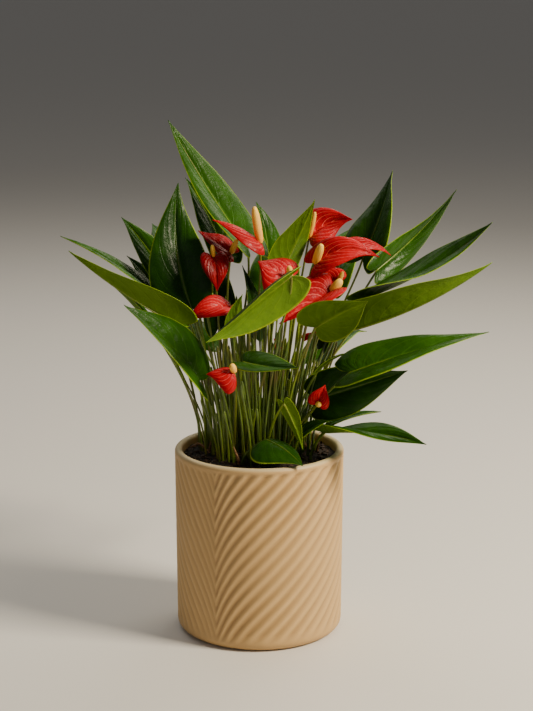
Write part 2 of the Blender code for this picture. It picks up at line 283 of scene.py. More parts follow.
def smooth_table(rows, at):
    """Catmull-Rom values of a table's columns at places from 0 to 1."""
    rows = np.asarray(rows, dtype=float)
    rows = np.vstack([2 * rows[0] - rows[1], rows, 2 * rows[-1] - rows[-2]])
    place = np.clip(np.asarray(at) * (len(rows) - 3), 0, len(rows) - 3 - 1e-9)
    k = place.astype(int)
    t = (place - k)[:, None]
    a, b, c, d = (rows[k + j] for j in range(4))
    return 0.5 * (2 * b + (c - a) * t + (2 * a - 5 * b + 4 * c - d) * t**2 + (3 * b - a - 3 * c + d) * t**3)


def unit(rows):
    return rows / np.linalg.norm(rows, axis=-1, keepdims=True)


def waves(places, seed, size, count=4):
    """Smooth seeded undulation from -1 to 1 over places, with features of about one size."""
    random = np.random.default_rng(seed)
    total = np.zeros(len(places))
    for _ in range(count):
        way = unit(random.normal(size=3)) * (2 * pi / size) * random.uniform(0.6, 1.4)
        total += np.sin(places @ way + random.uniform(0, 2 * pi))
    return total / count


# ---------------------------------------------------------------- stems and blades


def above_rim(place):
    return np.array(place, dtype=float) + (0, 0, POT_HEIGHT)


def foot_of(stem):
    spread = MIX_TOP_R / CROWN_R
    return np.array((stem.foot[0] * spread, stem.foot[1] * spread, MIX_TOP - STEM_SINK))


def blade_axes(start, end, roll):
    along = unit(end - start)
    up = unit(np.array((0.0, 0.0, 1.0)) - along * along[2])
    side = np.cross(along, up)
    return along, side * cos(roll) - up * sin(roll), up * cos(roll) + side * sin(roll)


def midrib(blade, start, end, t):
    """Midrib points at an array of places, with the side and face directions there."""
    t = np.asarray(t, dtype=float)[:, None]
    _, side, face = blade_axes(start, end, radians(blade.roll))
    bow = face * blade.arch + side * blade.sway
    inner = np.maximum(t, 0)
    along = unit((end - start) + bow * (4 - 8 * inner))
    here = start * (1 - inner) + end * inner + bow * (4 * inner * (1 - inner))
    here = here + along * np.linalg.norm(end - start) * np.minimum(t, 0)
    turn = np.radians(blade.twist) * inner
    side = unit(side - along * (along @ side)[:, None])
    face = np.cross(side, along)
    return here, side * np.cos(turn) - face * np.sin(turn), face * np.cos(turn) + side * np.sin(turn)


def blade_surface(blade, start, end, outline, style, rows, half_columns):
    """The blade's middle surface on a grid of ribs by places across, with each point's place on both."""
    along = np.linspace(0, 1, rows) ** 0.9
    across = np.linspace(0, 1, half_columns + 1) ** 0.85
    across = np.concatenate([-across[:0:-1], across])
    leave, meet, out = smooth_table(outline, along).T
    out = np.maximum(out, 0.004)
    s, v = (grid.ravel() for grid in np.meshgrid(along, across, indexing="ij"))
    leave, meet, out = (np.repeat(column, len(across)) for column in (leave, meet, out))
    far = np.abs(v)
    spine = leave + (meet - leave) * far**1.25
    here, side, face = midrib(blade, start, end, spine)
    half = blade.width / 2
    reach = out * v * half
    fold = radians(blade.fold + CREASES.get(blade.name, 0))
    body = np.sin(pi * np.clip(s, 0, 1)) ** 0.5
    lift = np.abs(reach) * sin(fold) + style["crown"] * half * far * (1 - far) * 4 * out
    lift = lift - style["curl"] * half * out * far**4
    lift = lift + style["ripple"] * half * body * far**2 * waves(here, style["seed"], blade.width * 0.9)
    cell = np.abs(np.sin(pi * style["veins"] * (s - style["lean"] * far**1.15)))
    window = np.clip(far / 0.16, 0, 1) * np.clip((1 - far) / 0.18, 0, 1) * body
    lift = lift + style["pucker"] * cell**0.7 * window
    lift = lift - style["valley"] * np.exp(-((reach / (0.11 * half)) ** 2)) * body
    return here + side * (reach * cos(fold))[:, None] + face * lift[:, None], s, v


def blade_shell(blade, start, end, outline, style, rows=64, half_columns=14):
    """A closed thin blade: its points, its faces, each face's look (0 above, 1 below) and its map."""
    middle, s, v = blade_surface(blade, start, end, outline, style, rows, half_columns)
    columns = 2 * half_columns + 1
    grid = middle.reshape(rows, columns, 3)
    down = np.gradient(grid, axis=0)
    over = np.gradient(grid, axis=1)
    normal = np.cross(over, down)
    size = np.linalg.norm(normal, axis=2, keepdims=True)
    normal = (normal / np.maximum(size, 1e-12)).reshape(-1, 3)
    _, _, face = midrib(blade, start, end, np.clip(s, 0, 1))
    normal *= np.sign(np.sum(normal * face, axis=1, keepdims=True) + 1e-9)
    thick = style["thick"] * (1 - 0.55 * np.abs(v) ** 2)[:, None]
    points = np.vstack([middle + normal * thick, middle - normal * thick])
    upper = grid_faces(rows, columns, flip=True)
    lower = grid_faces(rows, columns, first=rows * columns)
    n = rows * columns
    rim = []
    for r in range(rows - 1):
        for c, turn in ((0, False), (columns - 1, True)):
            a, b = r * columns + c, (r + 1) * columns + c
            rim.append((a, b, b + n, a + n) if turn else (a, a + n, b + n, b))
    for r, turn in ((0, True), (rows - 1, False)):
        for c in range(columns - 1):
            a, b = r * columns + c, r * columns + c + 1
            rim.append((a, b, b + n, a + n) if turn else (a, a + n, b + n, b))
    faces = upper + lower + rim
    looks = [0] * len(upper) + [1] * len(lower) + [0] * len(rim)
    return points, faces, looks, np.column_stack([np.tile(s, 2), np.tile(v * 0.5 + 0.5, 2)])


def cubic(a, b, c, d, t):
    t = np.asarray(t)[:, None]
    return a * (1 - t) ** 3 + b * (3 * t * (1 - t) ** 2) + c * (3 * t * t * (1 - t)) + d * t**3


def stem_path(foot, top, arrive, count):
    """The stem's centre line, as in the part: up out of the mix, then round to arrive along a direction."""
    reach = np.linalg.norm(top - foot)
    t = np.linspace(0, 1, count)
    return cubic(foot, foot + (0, 0, reach * 0.4), top - arrive * (reach * 0.22), top, t)


def tube(path, radii, sides=12):
    """A closed round tube along a path, with sections carried along it so that they don't twist."""
    along = unit(np.gradient(path, axis=0))
    side = unit(np.cross(along[0], OFF_AXIS))
    rings = []
    turns = np.linspace(0, 2 * pi, sides, endpoint=False)
    for here, way, radius in zip(path, along, radii):
        side = unit(side - way * (side @ way))
        other = np.cross(way, side)
        rings.append(here + radius * (np.outer(np.cos(turns), side) + np.outer(np.sin(turns), other)))
    points = np.vstack(rings)
    faces = grid_faces(len(path), sides, closed=True)
    faces.append(tuple(range(sides))[::-1])
    faces.append(tuple(range(len(points) - sides, len(points))))
    return points, faces


def joined(parts):
    """Several (points, faces, looks, map, tone) lists as one."""
    points, faces, looks, maps, tones = [], [], [], [], []
    for p, f, k, m, t in parts:
        shift = sum(len(q) for q in points)
        faces += [tuple(v + shift for v in face) for face in f]
        points.append(p)
        looks += list(k)
        maps.append(m)
        tones.append(t)
    return np.vstack(points), faces, looks, np.vstack(maps), np.concatenate(tones)


def stem_part(path, radii, look, tone_and_shade, sides=12):
    points, faces = tube(path, radii, sides)
    place = np.repeat(np.linspace(0, 1, len(path)), sides)
    return points, faces, [look] * len(faces), np.column_stack([place, place * 0 + 0.5]), place * 0 + tone_and_shade


def add_leaf(leaf, number):
    foot, collar, tip = foot_of(leaf), above_rim(leaf.collar), above_rim(leaf.tip)
    rise, along = unit(collar - foot), unit(tip - collar)
    arrive = unit(rise + along * (0.35 + 0.5 * max(rise @ along, 0)))
    # A listed blade's value comes from the table, where low values are painted shade; the rest are spread
    # evenly.
    tone_and_shade = TONES_AND_SHADE.get(leaf.name, 0.35 + 0.3 * ((number * GOLDEN_SHARE) % 1))
    style = dict(LEAF_STYLE, seed=number)
    blade = blade_shell(leaf, collar, tip, LEAF_OUTLINE, style)
    parts = [(*blade, np.full(len(blade[0]), tone_and_shade))]
    stem = stem_path(foot, collar, arrive, PETIOLE_ROWS)
    spine, _, face = midrib(leaf, collar, tip, np.linspace(0.03, 0.93, MIDRIB_ROWS))
    spine = spine - face * MIDRIB_SINK
    petiole = np.linspace(*PETIOLE_R, PETIOLE_ROWS)
    # The foot flares, and the top swells into the joint that the blade turns on.
    petiole[:3] *= (1.35, 1.25, 1.12)
    petiole[-6:] *= (1.03, 1.08, 1.12, 1.12, 1.08, 1.03)
    radii = np.concatenate([petiole, np.linspace(PETIOLE_R[1] * 0.95, MIDRIB_END_R, MIDRIB_ROWS)])
    parts.append(stem_part(np.vstack([stem, spine]), radii, 2, tone_and_shade))
    points, faces, looks, maps, tones = joined(parts)
    materials = (leaf_top, leaf_under, petiole_look)
    piece = add_piece("veined_" + leaf.name, points, faces, materials, looks, maps, {"tone_and_shade": tones})
    if leaf not in INNER_LEAVES:
        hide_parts("leaf_" + leaf.name)


def add_spathe(flower, number):
    base, tip = above_rim(flower.base), above_rim(flower.tip)
    start = base + unit(tip - base) * (STALK_R[1] * 0.4)
    style = dict(SPATHE_STYLE, seed=50 + number)
    # Low values from the table darken a spathe with painted shade.
    tone_and_shade = TONES_AND_SHADE.get("flower_" + flower.name, 0.6)
    points, faces, looks, maps = blade_shell(flower, start, tip, SPATHE_OUTLINE, style, 56, 14)
    materials, tones = (spathe_top, spathe_under), np.full(len(points), tone_and_shade)
    piece = add_piece("lacquered_" + flower.name, points, faces, materials, looks, maps, {"tone_and_shade": tones})
    if flower not in BUDS:
        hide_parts("spathe_" + flower.name)


def add_spike(flower):
    """The stalk, and the spadix with its rows of tiny florets along two crossing spirals."""
    foot, base, top = foot_of(flower), above_rim(flower.base), above_rim(flower.spadix)
    along = unit(top - base)
    arrive = unit(unit(base - foot) + along)
    path = stem_path(foot, base + along * 0.6, arrive, STALK_ROWS)
    radii = np.linspace(*STALK_R, STALK_ROWS)
    radii[:3] *= (1.3, 1.2, 1.1)
    tone_and_shade = TONES_AND_SHADE.get("stalk_" + flower.name, 0.5)
    parts = [stem_part(path, radii, 0, tone_and_shade)]
    length, rows, sides = np.linalg.norm(top - base), 72, 40
    t = np.linspace(0, 1, rows)
    shape = np.sqrt(np.clip(1 - ((t - 0.42) / 0.60) ** 4, 0, 1)) * (0.86 + 0.14 * np.sin(pi * t))
    shape *= np.clip(t / 0.10, 0, 1) ** 0.5 * 0.35 + 0.65
    shape[-1] = 0.02
    side = unit(np.cross(along, OFF_AXIS))
    other = np.cross(along, side)
    turns = np.linspace(0, 2 * pi, sides, endpoint=False)
    spin, place = np.meshgrid(turns, t * length)
    around, upwards = FLORET_TURNS * spin, FLORET_PACE * place
    bumps = np.cos(around + upwards) * np.cos(around - upwards)
    shape = shape[:, None]
    radius = flower.thick * shape + FLORET_HEIGHT * bumps * np.clip(shape * 2 - 0.6, 0, 1)
    centre = base + np.outer(t * length, along)
    points = centre[:, None, :] + radius[..., None] * (
        np.cos(spin)[..., None] * side + np.sin(spin)[..., None] * other
    )
    faces = grid_faces(rows, sides, closed=True)
    faces += [tuple(range(sides))[::-1], tuple(range((rows - 1) * sides, rows * sides))]
    maps = np.column_stack([np.repeat(t, sides), np.tile(turns / (2 * pi), rows)])
    parts.append((points.reshape(-1, 3), faces, [1] * len(faces), maps, bumps.ravel() * 0.5 + 0.5))
    points, faces, looks, maps, tones = joined(parts)
    materials = (stalk_look, spadix_look)
    piece = add_piece("florets_" + flower.name, points, faces, materials, looks, maps, {"tone_and_shade": tones})
    if flower not in BUDS:
        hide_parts("spike_" + flower.name)


def touch_tree():
    """All blades, stems and spadices so far as one tree in mm, to measure how near a new stem comes."""
    corners, faces = [], []
    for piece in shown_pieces():
        if piece.name.startswith(("veined_", "lacquered_", "florets_")):
            shift = len(corners)
            corners += [vertex.co / MM for vertex in piece.data.vertices]
            faces += [[shift + k for k in face.vertices] for face in piece.data.polygons]
    return BVHTree.FromPolygons(corners, faces)


def add_young_stems():
    """Thin stems with rolled young leaves, wherever one stands clear of every blade and stem.

    Feet follow a sunflower spiral, and each stem leans outwards the more, the taller it is.
    """
    tree, parts = touch_tree(), []
    random = np.random.default_rng(5)
    t = np.linspace(0, 1, 40)
    for order in range(YOUNG_TRIES):
        radius, turn = CLUMP_R * ((order + 0.5) / YOUNG_TRIES) ** 0.5, order * GOLDEN_TURN
        ground = np.array((radius * cos(turn), radius * sin(turn) + CLUMP_BACK, 0.0))
        if np.linalg.norm(ground - WATER_GAP) < WATER_GAP_R:
            continue
        height = random.uniform(*YOUNG_HEIGHTS)
        lean = (ground + random.normal(size=3) * 7.0) * (1, 1, 0) * height / 100 * random.uniform(0.2, 0.9)
        foot, tip = ground + (0, 0, MIX_TOP - STEM_SINK), above_rim((0, 0, height)) + ground + lean
        path = stem_path(foot, tip, unit(tip - foot), len(t))
        if any(tree.find_nearest(Vector(place), YOUNG_CLEARANCE)[0] for place in path[1:]):
            continue
        rolled = np.clip(1 - ((t - 0.86) / 0.14) ** 2, 0, 1)
        radii = YOUNG_R[0] + (YOUNG_R[1] - YOUNG_R[0]) * t + ROLL_R * rolled
        radii[-1] = 0.08
        parts.append(stem_part(path, radii, 0, (order * GOLDEN_SHARE) % 1, 9))
    points, faces, looks, maps, tones = joined(parts)
    piece = add_piece("rolled_young_leaves", points, faces, (petiole_look,), looks, maps, {"tone_and_shade": tones})


# ---------------------------------------------------------------- materials


class Look:
    """A Principled material with short ways to add nodes to it."""

    def __init__(self, name, roughness=0.5, coat=0.0, coat_roughness=0.2):
        self.material = bpy.data.materials.new(name)
        self.material.use_nodes = True
        self.tree = self.material.node_tree
        self.shader = self.tree.nodes["Principled BSDF"]
        self.shader.inputs["Roughness"].default_value = roughness
        self.shader.inputs["Coat Weight"].default_value = coat
        self.shader.inputs["Coat Roughness"].default_value = coat_roughness

    def node(self, kind, links=None, **settings):
        made = self.tree.nodes.new(kind)
        for key, value in settings.items():
            setattr(made, key, value)
        for key, value in (links or {}).items():
            self.feed(made.inputs[key], value)
        return made

    def feed(self, socket, value):
        if isinstance(value, bpy.types.NodeSocket):
            self.tree.links.new(value, socket)
        else:
            socket.default_value = value

    def math(self, operation, a, b=0.0, clamp=False):
        return self.node("ShaderNodeMath", {0: a, 1: b}, operation=operation, use_clamp=clamp).outputs[0]

    def plus(self, a, b, clamp=False):
        return self.math("ADD", a, b, clamp)

    def minus(self, a, b):
        return self.math("SUBTRACT", a, b)

    def times(self, a, b):
        return self.math("MULTIPLY", a, b)

    def smooth(self, value, low, high):
        """0 below low and 1 above high, with a soft step between; low may be above high."""
        made = self.node("ShaderNodeMapRange", {"Value": value, "From Min": low, "From Max": high})
        made.interpolation_type = "SMOOTHSTEP"
        return made.outputs["Result"]

    def mix(self, amount, a, b):
        made = self.node("ShaderNodeMix", data_type="RGBA")
        self.feed(made.inputs["Factor"], amount)
        self.feed(made.inputs[6], a)
        self.feed(made.inputs[7], b)
        return made.outputs[2]

    def noise(self, scale, detail=3.0, roughness=0.5):
        where = self.node("ShaderNodeTexCoord").outputs["Object"]
        links = {"Vector": where, "Scale": scale, "Detail": detail, "Roughness": roughness}
        return self.node("ShaderNodeTexNoise", links).outputs["Fac"]

    def cells(self, scale, output="Distance"):
        where = self.node("ShaderNodeTexCoord").outputs["Object"]
        return self.node("ShaderNodeTexVoronoi", {"Vector": where, "Scale": scale}).outputs[output]

    def value(self, name):
        return self.node("ShaderNodeAttribute", attribute_name=name).outputs["Fac"]

    def map(self):
        place = self.node("ShaderNodeUVMap", uv_map="blade").outputs[0]
        made = self.node("ShaderNodeSeparateXYZ", {0: place})
        return made.outputs[0], made.outputs[1]

    def bump(self, height, strength, distance):
        made = self.node("ShaderNodeBump", {"Height": height, "Strength": strength, "Distance": distance})
        self.feed(self.shader.inputs["Normal"], made.outputs[0])

    def colour(self, value):
        self.feed(self.shader.inputs["Base Color"], value)

    def rough(self, value):
        self.feed(self.shader.inputs["Roughness"], value)


def rgb(red, green, blue):
    return (red, green, blue, 1.0)


def vein_lines(look, veins, width, lean):
    """How strongly a point lies on a side vein, on the midrib, and on the margin."""
    s, v = look.map()
    far = look.math("ABSOLUTE", look.times(look.minus(v, 0.5), 2.0))
    bend = look.times(look.math("POWER", far, 1.15), lean)
    place = look.times(look.minus(s, bend), float(veins))
    away = look.math("ABSOLUTE", look.minus(look.math("FRACT", look.plus(place, 0.5)), 0.5))
    side = look.smooth(away, width, width * 0.15)
    side = look.times(side, look.smooth(far, 0.97, 0.55))
    return side, look.smooth(far, 0.075, 0.015), look.smooth(far, 0.945, 0.985)


def blade_look(name, style, dark, light, vein, rib, edge, strengths, roughness, coat, width=0.09):
    """A veined blade: a per-point value mixes dark to light, as painted shade on the darkest blades, and
    veins,
    midrib and margin take their own colours: the leaves' bright margin is partly painted backlight, and the
    spathes' pale pink veins partly painted highlight.

    strengths says how far each of the three shows. width is half a side vein's, as a share of the spacing.
    """
    look = Look(name, roughness, coat, 0.16)
    look.shader.inputs["Specular IOR Level"].default_value = 0.12
    side, middle, margin = vein_lines(look, style["veins"], width, style["lean"])
    patchy = look.smooth(look.noise(42.0, 4.0), 0.30, 0.72)
    tone_and_shade = look.plus(look.value("tone_and_shade"), look.times(look.minus(patchy, 0.5), 0.5))
    base = look.mix(look.plus(tone_and_shade, 0.0, True), dark, light)
    fine = look.cells(900.0)
    base = look.mix(look.times(look.smooth(fine, 0.1, 0.6), 0.12), base, light)
    # Veins fade out on the darkest blades, as part of their painted shade.
    shown = look.times(side, look.smooth(look.value("tone_and_shade"), -0.1, 0.5))
    # On spathes the pale pink veins are partly painted highlight.
    base = look.mix(look.times(shown, strengths[0]), base, vein)
    base = look.mix(look.times(middle, strengths[1]), base, rib)
    # A paler margin; on the leaves' upper face its bright yellow-green is partly painted backlight.
    base = look.mix(look.times(margin, strengths[2]), base, edge)
    look.colour(base)
    mottled = look.noise(160.0, 3.0)
    look.rough(look.plus(look.times(mottled, 0.22), roughness - 0.11))
    height = look.plus(look.times(side, -0.6), look.times(fine, 0.35))
    height = look.plus(height, look.times(look.noise(130.0, 3.0), 4.0))
    look.bump(height, 0.5, 0.0005)
    return look.material


# The upper face's greens are darker than the leaf's own, partly painted shade.
leaf_top = blade_look(
    "leaf upper face", LEAF_STYLE, rgb(0.006, 0.030, 0.0012), rgb(0.028, 0.098, 0.002),
    # The third colour here, the margin's bright yellow-green, is partly painted backlight.
    rgb(0.045, 0.14, 0.006), rgb(0.08, 0.19, 0.008), rgb(0.30, 0.44, 0.02), (0.30, 0.60, 0.85), 0.34, 0.05,
)
leaf_under = blade_look(
    "leaf lower face", LEAF_STYLE, rgb(0.030, 0.078, 0.003), rgb(0.098, 0.180, 0.004),
    rgb(0.13, 0.20, 0.008), rgb(0.14, 0.22, 0.01), rgb(0.30, 0.38, 0.015), (0.30, 0.8, 0.7), 0.5, 0.0,
)
spathe_top = blade_look(
    "spathe upper face", SPATHE_STYLE, rgb(0.10, 0.0005, 0.003), rgb(0.50, 0.0005, 0.007),
    # The first colour here, the pale pink veins, is partly painted highlight.
    rgb(0.84, 0.13, 0.11), rgb(0.66, 0.03, 0.03), rgb(0.62, 0.01, 0.012), (0.90, 0.5, 0.4), 0.34, 0.04, 0.08,
)
# The lower face's brighter orange-red is partly painted light shining through the spathe.
spathe_under = blade_look(
    "spathe lower face", SPATHE_STYLE, rgb(0.12, 0.001, 0.002), rgb(0.60, 0.006, 0.003),
    rgb(0.78, 0.06, 0.02), rgb(0.78, 0.08, 0.03), rgb(0.78, 0.06, 0.03), (0.35, 0.4, 0.3), 0.38, 0.1,
)


def stem_look(name, dark, light, blush):
    """A smooth green stem with faint streaks and a reddish blush in places."""
    look = Look(name, 0.4)
    streak = look.noise(260.0, 4.0)
    base = look.mix(look.plus(look.value("tone_and_shade"), look.minus(streak, 0.5), True), dark, light)
    base = look.mix(look.times(look.smooth(look.noise(22.0), 0.50, 0.68), 0.55), base, blush)
    look.colour(base)
    look.bump(streak, 0.2, 0.0003)
    return look.material


petiole_look = stem_look(
    "petiole", rgb(0.040, 0.085, 0.006), rgb(0.20, 0.28, 0.012), rgb(0.15, 0.075, 0.012),
)
stalk_look = stem_look(
    "flower stalk", rgb(0.060, 0.085, 0.008), rgb(0.21, 0.24, 0.015), rgb(0.22, 0.06, 0.012),
)


def make_spadix_look():
    look = Look("spadix", 0.5)
    along, _ = look.map()
    base = look.mix(look.smooth(along, 0.0, 0.9), rgb(0.86, 0.33, 0.02), rgb(0.93, 0.52, 0.05))
    base = look.mix(look.times(look.value("tone_and_shade"), 0.55), base, rgb(0.96, 0.64, 0.12))
    look.colour(base)
    look.bump(look.cells(1500.0), 0.3, 0.0002)
    return look.material


spadix_look = make_spadix_look()


def make_pot_look():
    """Matt beige glaze, paler on the lip, with fine speckle; the ribs' grooves are darkened with painted
    shade and their crests paled with painted highlight.
    """
    look = Look("pot glaze", 0.5)
    # Painted shade in the ribs' grooves and painted highlight on their crests.
    base = look.mix(look.value("rib"), rgb(0.30, 0.165, 0.052), rgb(0.65, 0.42, 0.17))
    base = look.mix(look.times(look.noise(14.0, 4.0), 0.35), base, rgb(0.68, 0.47, 0.22))
    base = look.mix(look.value("lip"), base, rgb(0.55, 0.45, 0.26))
    speck = look.smooth(look.noise(1100.0, 2.0), 0.66, 0.74)
    base = look.mix(look.times(speck, 0.25), base, rgb(0.32, 0.23, 0.14))
    look.colour(base)
    look.rough(look.plus(look.times(look.noise(60.0), 0.2), 0.42))
    grain = look.plus(look.noise(420.0, 5.0), look.times(look.noise(90.0, 2.0), 0.8))
    look.bump(grain, 0.22, 0.0006)
    return look.material


pot_look = make_pot_look()


def make_mix_look():
    look = Look("potting mix", 0.9)
    crumbs = look.smooth(look.noise(260.0, 6.0, 0.7), 0.40, 0.66)
    base = look.mix(crumbs, rgb(0.004, 0.0025, 0.0015), rgb(0.020, 0.011, 0.006))
    base = look.mix(look.smooth(look.cells(330.0, "Color"), 0.72, 0.86), base, rgb(0.06, 0.03, 0.015))
    look.colour(base)
    look.bump(look.noise(700.0, 6.0, 0.7), 0.9, 0.0015)
    return look.material


def make_chip_look(name, dark, light, roughness):
    look = Look(name, roughness)
    grain = look.noise(520.0, 5.0, 0.65)
    look.colour(look.mix(look.smooth(grain, 0.35, 0.68), dark, light))
    look.bump(grain, 0.6, 0.0008)
    return look.material


mix_look = make_mix_look()
bark_look = make_chip_look("bark chips", rgb(0.010, 0.0055, 0.003), rgb(0.07, 0.036, 0.018), 0.85)
grit_look = make_chip_look("pale grit", rgb(0.20, 0.16, 0.11), rgb(0.45, 0.38, 0.29), 0.8)
husk_look = make_chip_look("dry sheath", rgb(0.085, 0.036, 0.014), rgb(0.27, 0.14, 0.055), 0.7)


# ---------------------------------------------------------------- pot and potting mix

WALL, LIP_R, FOOT_ROUND, FLOOR = 6.5, 3.25, 8.0, 8.0
POT_BASE_R = POT_RIM_R - 1.0
POT_SIDES = 420

# The ribs' spacing and depth, the seam's place round the pot, and how far they climb for each mm round the
# wall, on the seam's left and right. They leave the seam more steeply, by RIB_TURN in all, and wander up and
# down a little.
RIB_PITCH, RIB_DEPTH = 13.0, 2.3
SEAM = radians(-30.7)
RIB_CLIMB = (1.30, 0.96)
RIB_TURN, RIB_TURN_REACH = 22.0, 11.0
RIB_WANDER = 1.1


def quarter(radius, height, size, start, end, steps):
    turns = np.radians(np.linspace(start, end, steps))
    return np.column_stack([radius + size * np.cos(turns), height + size * np.sin(turns)])


def pot_profile():
    """Radius and height up the inside from the floor, over the lip, down the wall and round the foot."""
    floor = quarter(POT_BASE_R - WALL - 6, FLOOR + 6, 6, -90, 0, 6)
    inner = np.array([(POT_BASE_R - WALL, 40.0), (POT_RIM_R - 2 * LIP_R - 0.05, POT_HEIGHT - LIP_R - 0.5)])
    lip = quarter(POT_RIM_R - LIP_R, POT_HEIGHT - LIP_R, LIP_R, 180, 0, 18)
    heights = np.linspace(POT_HEIGHT - LIP_R - 0.7, FOOT_ROUND + 0.7, 190)
    flare = (POT_RIM_R - POT_BASE_R) * (heights - FOOT_ROUND) / (POT_HEIGHT - LIP_R - FOOT_ROUND)
    wall = np.column_stack([POT_BASE_R + flare, heights])
    foot = quarter(POT_BASE_R - FOOT_ROUND, FOOT_ROUND, FOOT_ROUND, 0, -90, 16)
    return np.vstack([floor, inner, lip, wall, foot])


def pot_ribs(radius, height, turn):
    """At each point, 0 in a groove to 1 on a crest, and two shares of the ribs' full depth.

    The first share fades the ribs out towards the lip and the foot. The second makes them shallower on the
    seam's left, and far round on its right.
    """
    # Azimuth is 0 at the front, -Y, and grows towards +X.
    azimuth = np.arctan2(np.cos(turn), -np.sin(turn))
    swing = (azimuth - SEAM + pi) % (2 * pi) - pi
    away = np.abs(swing) * POT_RIM_R
    climb = away * np.where(swing > 0, RIB_CLIMB[1], RIB_CLIMB[0])
    climb = climb + RIB_TURN * (1 - np.exp(-away / RIB_TURN_REACH))
    places = np.column_stack([radius * np.cos(turn), radius * np.sin(turn), height])
    bend = waves(places, 3, 90.0) * RIB_WANDER
    crest = (0.5 + 0.5 * np.cos(2 * pi * (height - climb + bend) / RIB_PITCH)) ** 0.8
    outside = (radius > POT_RIM_R - 6) & (height < POT_HEIGHT - LIP_R - 0.5) & (height > 3)
    fade = np.clip((POT_HEIGHT - LIP_R - 0.6 - height) / 3.0, 0, 1) * np.clip((height - 5.0) / 9.0, 0, 1)
    uneven = waves(np.column_stack([azimuth, height * 0.02, radius * 0]), 4, 2.5)
    soft = np.where(swing > 0, 1 - 0.35 * np.clip((swing - 0.9) / 1.2, 0, 1), 0.6)
    return crest, fade * outside * (0.75 + 0.25 * uneven), soft


def add_pot():
    """The ribbed pot: ribs rise away from a seam on both sides, like a feather's barbs."""
    profile = pot_profile()
    turns = np.linspace(0, 2 * pi, POT_SIDES, endpoint=False)
    radius, height = (np.repeat(column, POT_SIDES) for column in profile.T)
    turn = np.tile(turns, len(profile))
    crest, fade, soft = pot_ribs(radius, height, turn)
    radius = radius - RIB_DEPTH * fade * soft * (1 - crest)
    points = np.column_stack([radius * np.cos(turn), radius * np.sin(turn), height])
    faces = grid_faces(len(profile), POT_SIDES, closed=True, flip=True)
    faces += [tuple(range(POT_SIDES)), tuple(range(len(points) - POT_SIDES, len(points)))[::-1]]
    # The ribs' colour value: painted shade in the grooves, painted highlight on the crests.
    rib = np.where(fade > 0.01, 0.5 + (crest - 0.5) * fade * soft, 0.5)
    rim = np.clip((height - (POT_HEIGHT - 2.6)) / 2.2, 0, 1)
    piece = add_piece("ribbed_pot", points, faces, (pot_look,), values={"rib": rib, "lip": rim})
    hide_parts("pot")


def mix_height(x, y):
    """The lumpy surface's height over the mix's flat top, lower towards the wall."""
    places = np.column_stack([x, y, np.zeros(len(x))])
    lumps = waves(places, 11, 22.0) * 0.9 + waves(places, 12, 7.0) * 0.8 + waves(places, 13, 3.2) * 0.5
    away = np.hypot(x, y) / MIX_TOP_R
    return lumps - 1.0 * np.clip((away - 0.8) / 0.2, 0, 1) - 0.3


def add_mix():
    rings, sides = 90, 260
    skirt = (MIX_TOP_R, -MIX_LOW.x - 1.5, MIX_TOP_R - 8)
    radii = np.concatenate([np.linspace(0.4, MIX_TOP_R, rings), skirt])
    turns = np.linspace(0, 2 * pi, sides, endpoint=False)
    radius, turn = np.repeat(radii, sides), np.tile(turns, len(radii))
    x, y = radius * np.cos(turn), radius * np.sin(turn)
    z = MIX_TOP + mix_height(x, y)
    z[rings * sides:] = np.repeat((MIX_TOP - 6.0, MIX_TOP - 60.0, MIX_LOW.z + 1.0), sides)
    points = np.column_stack([x, y, z])
    faces = grid_faces(len(radii), sides, closed=True)
    faces += [tuple(range(sides))[::-1], tuple(range(len(points) - sides, len(points)))]
    piece = add_piece("crumbly_mix", points, faces, (mix_look,))
    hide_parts("potting_mix")


# How much of a chip's thickness its middle stands above the mix
CHIP_RISE = 0.25


def lump(centre, size, random):
    """A closed angular chip: a jittered, turned and stretched box with cut corners."""
    corners = np.array([(i, j, k) for i in (-1, 1) for j in (-1, 1) for k in (-1, 1)], dtype=float)
    corners *= random.uniform(0.65, 1.0, size=(8, 3))
    turn = Matrix.Rotation(random.uniform(0, 2 * pi), 3, "Z")
    tilt = Matrix.Rotation(random.uniform(-0.5, 0.5), 3, "X")
    points = (corners * size / 2) @ np.array(turn @ tilt).T + centre
    faces = [(0, 1, 3, 2), (4, 6, 7, 5), (0, 4, 5, 1), (2, 3, 7, 6), (0, 2, 6, 4), (1, 5, 7, 3)]
    return points, faces


def add_chips(name, count, low, high, look, seed):
    """Chips from low to high in length, scattered over the mix and resting in its lumps."""
    random = np.random.default_rng(seed)
    points, faces = [], []
    for _ in range(count):
        radius, turn = MIX_TOP_R * 0.97 * random.uniform() ** 0.5, random.uniform(0, 2 * pi)
        x, y = radius * cos(turn), radius * sin(turn)
        length = random.uniform(low, high)
        size = length * np.array((1.0, random.uniform(0.35, 0.8), random.uniform(0.25, 0.5)))
        z = MIX_TOP + mix_height(np.array([x]), np.array([y]))[0] + size[2] * CHIP_RISE
        p, f = lump(np.array((x, y, z)), size, random)
        shift = 8 * len(points)
        points.append(p)
        faces += [tuple(k + shift for k in face) for face in f]
    piece = add_piece(name, np.vstack(points), faces, (look,))
    piece.data.shade_flat()


